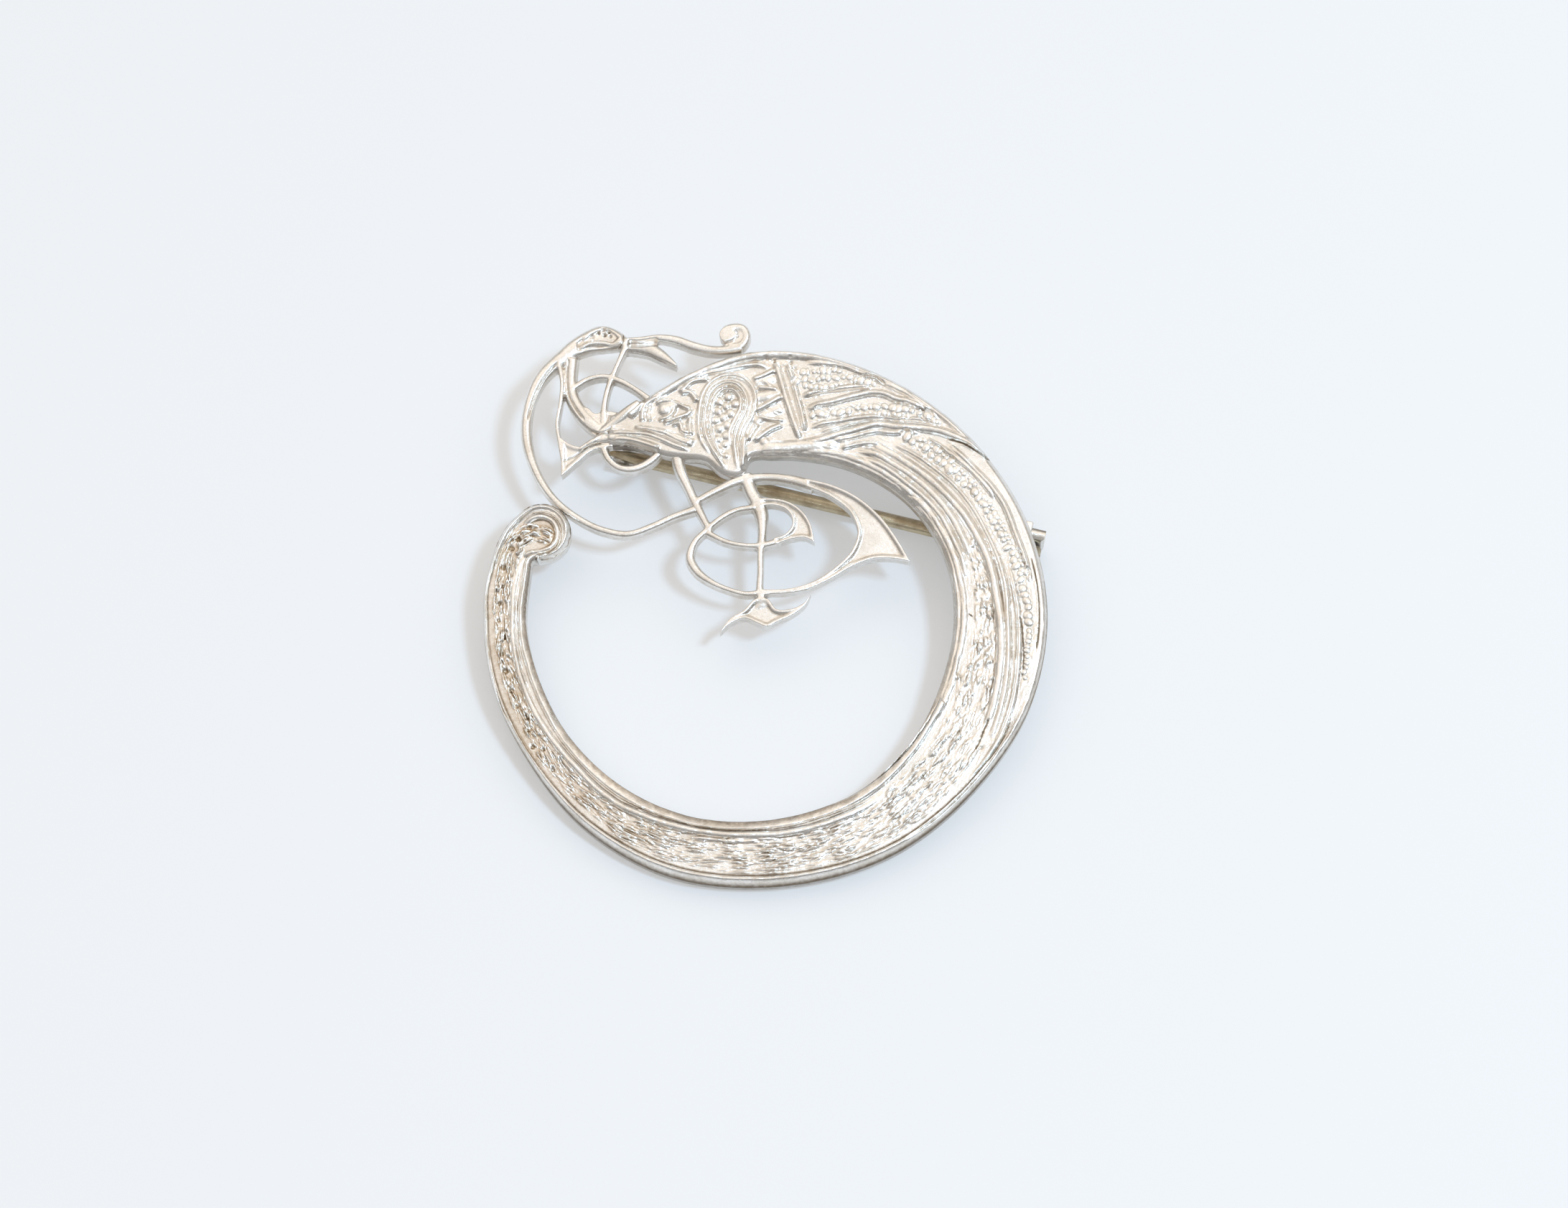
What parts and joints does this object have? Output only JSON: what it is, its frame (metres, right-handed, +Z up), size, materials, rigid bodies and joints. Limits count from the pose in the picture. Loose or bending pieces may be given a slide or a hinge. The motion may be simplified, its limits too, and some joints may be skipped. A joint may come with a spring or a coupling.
{
  "type": "brooch",
  "caption": "Cast silver openwork bird brooch whose long tail sweeps round into a ring, with a hinged pin and a plain hook catch on its back.",
  "frame": {"origin": "centre of the bounding box at table height, with the brooch lying face up on its back fittings", "axes": "+Z up through the brooch's thickness, +Y towards the bird's head and back, +X towards the hinge"},
  "size_m": [0.0452, 0.047, 0.0073],
  "materials": {
    "silver": "cast silver, softly polished on the high spots, tarnished in the recesses",
    "brass": "dull drawn wire"
  },
  "bodies": {
    "casting": {"bird_ring_casting": "silver", "hinge_rivet": "brass"},
    "pin": {"pin_stem": "brass"}
  },
  "joints": [
    {"name": "pin_hinge", "type": "hinge", "parent": "casting", "child": "pin", "pos_m": [0.02114, 0.00505, 0.0013], "axis": [-0.2538, -0.9603, -0.1163], "range_deg": [0, 100]}
  ]
}
